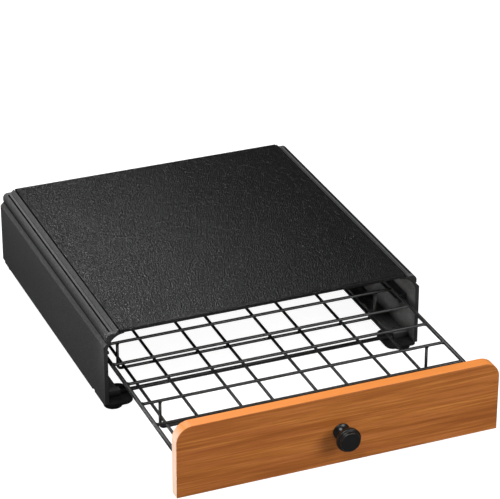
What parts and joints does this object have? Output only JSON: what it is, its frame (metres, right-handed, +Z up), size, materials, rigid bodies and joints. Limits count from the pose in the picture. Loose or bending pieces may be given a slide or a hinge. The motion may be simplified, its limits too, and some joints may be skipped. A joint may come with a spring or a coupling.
{
  "type": "coffee capsule holder",
  "caption": "Low coffee capsule holder: a case whose deck carries a machine, over a sliding wire drawer with a rounded wooden front and a turned knob.",
  "frame": {"origin": "middle of the bottom of the bounding box, on the table, with the drawer pulled out as in the rest pose", "axes": "+Z up, +X to the right seen from the front, the drawer opens along -Y"},
  "size_m": [0.33, 0.5324, 0.088],
  "materials": {
    "case_plastic": "satin black",
    "deck_skin": "leather-grained black",
    "pad_rubber": "matte",
    "screw_steel": "zinc plated",
    "nylon": "smooth",
    "wood": "satin lacquer",
    "knob_black": "satin black",
    "frame_black": "powder coat",
    "wire_black": "powder coat"
  },
  "bodies": {
    "case": {"top_deck": "deck_skin", "left_side_panel": "case_plastic", "right_side_panel": "case_plastic", "back_panel": "case_plastic", "front_left_foot": "case_plastic", "front_right_foot": "case_plastic", "rear_left_foot": "case_plastic", "rear_right_foot": "case_plastic", "front_left_pad": "pad_rubber", "front_right_pad": "pad_rubber", "rear_left_pad": "pad_rubber", "rear_right_pad": "pad_rubber", "foot_screws": "screw_steel", "front_tie_rod": "frame_black", "rear_tie_rod": "frame_black", "left_runner": "frame_black", "right_runner": "frame_black", "runner_screws": "screw_steel", "left_front_guide": "nylon", "right_front_guide": "nylon", "deck_screws": "screw_steel", "back_screws": "screw_steel"},
    "drawer": {"drawer_front": "wood", "knob": "knob_black", "knob_screw": "screw_steel", "left_side_rod": "wire_black", "right_side_rod": "wire_black", "cross_wire_1": "wire_black", "cross_wire_2": "wire_black", "cross_wire_3": "wire_black", "cross_wire_4": "wire_black", "cross_wire_5": "wire_black", "cross_wire_6": "wire_black", "cross_wire_7": "wire_black", "cross_wire_8": "wire_black", "cradle_wire_1": "wire_black", "cradle_wire_2": "wire_black", "cradle_wire_3": "wire_black", "cradle_wire_4": "wire_black", "cradle_wire_5": "wire_black", "cradle_wire_6": "wire_black", "cradle_wire_7": "wire_black", "cradle_wire_8": "wire_black", "hoop_1": "wire_black", "hoop_2": "wire_black", "hoop_3": "wire_black", "hoop_4": "wire_black", "left_bracket": "wire_black", "right_bracket": "wire_black", "bracket_screws": "screw_steel", "left_rear_shoe": "nylon", "right_rear_shoe": "nylon"}
  },
  "joints": [
    {"name": "drawer_slide", "type": "slide", "parent": "case", "child": "drawer", "axis": [0, -1, 0], "range_m": [-0.1804, 0.098]}
  ]
}
